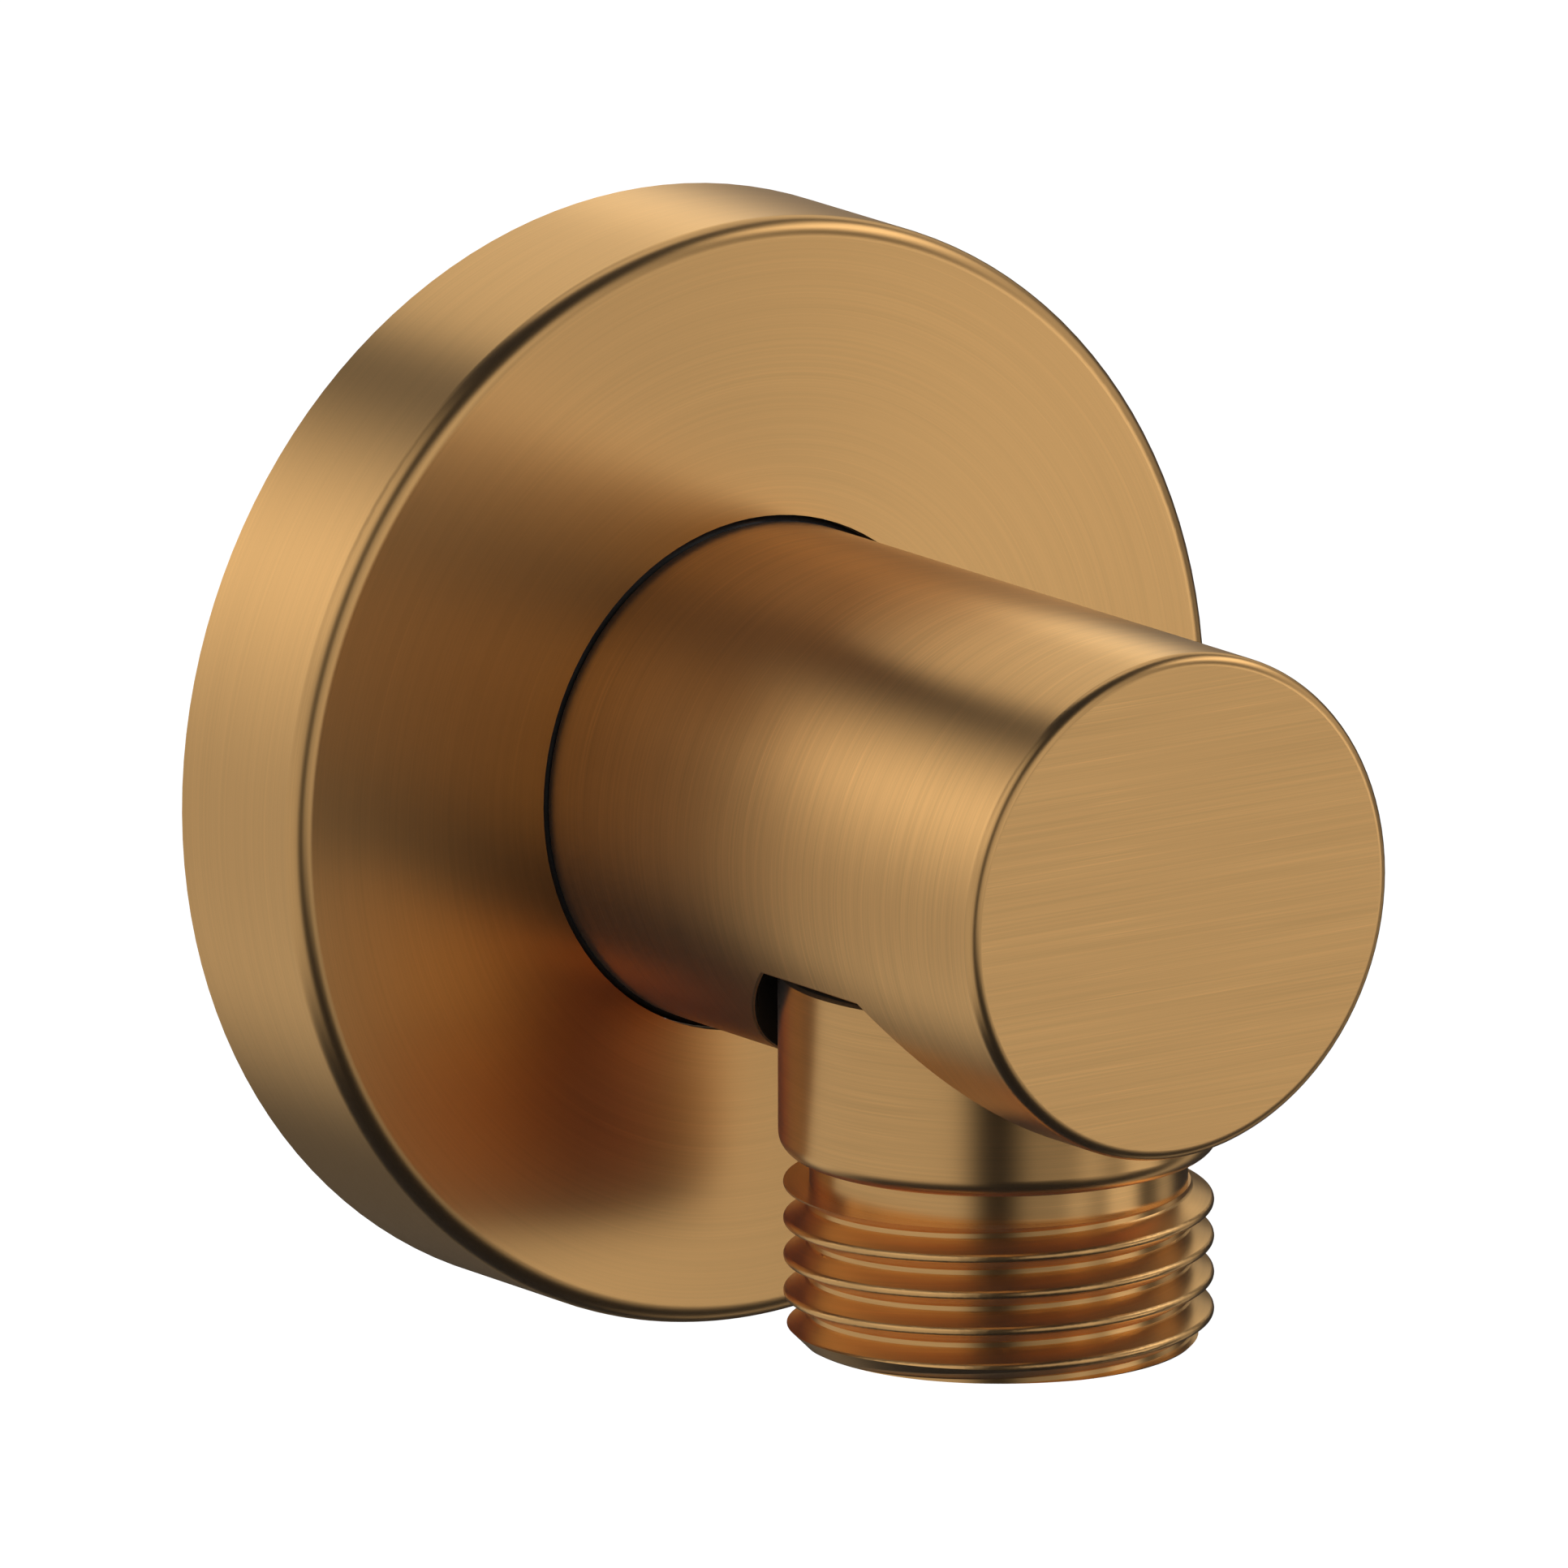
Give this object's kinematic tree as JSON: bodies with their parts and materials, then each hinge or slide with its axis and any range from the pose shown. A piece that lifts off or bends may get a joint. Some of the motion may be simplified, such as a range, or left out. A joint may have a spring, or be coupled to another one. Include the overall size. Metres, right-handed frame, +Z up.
{
  "type": "wall outlet elbow",
  "caption": "Round wall outlet elbow for a shower hose: escutcheon, horizontal body and a downward outlet with a male pipe thread and a non-return valve inside.",
  "frame": {"origin": "centre of the escutcheon on the wall plane, on the axis of the wall thread", "axes": "+Y into the wall along the wall thread, -Y out of the wall, +Z up, outlet along -Z, +X right as seen by someone facing the wall"},
  "size_m": [0.0552, 0.0579, 0.0552],
  "materials": {
    "brushed_metal": "brushed bronze, satin",
    "brass": "plain turned brass",
    "steel": "stainless",
    "rubber": "matt black",
    "valve_plastic": "off-white moulded"
  },
  "bodies": {
    "fixed": {"escutcheon": "brushed_metal", "elbow_body": "brushed_metal", "hose_nipple": "brushed_metal", "wall_nipple": "brass", "grub_screw": "steel", "valve_spring": "steel", "escutcheon_wall_seal": "rubber", "escutcheon_grip_ring": "rubber", "spigot_o_ring_rear": "rubber", "spigot_o_ring_front": "rubber", "hose_nipple_o_ring": "rubber", "valve_o_ring": "rubber", "valve_housing": "valve_plastic", "valve_guide": "valve_plastic"},
    "poppet": {"valve_poppet": "valve_plastic", "valve_poppet_seal": "rubber"}
  },
  "joints": [
    {"name": "valve_open", "type": "slide", "parent": "fixed", "child": "poppet", "axis": [0, 0, -1], "range_m": [0, 0.0025], "stiffness_N_per_m": 100, "springref_m": -0.0015, "deforming": ["valve_spring"]}
  ]
}
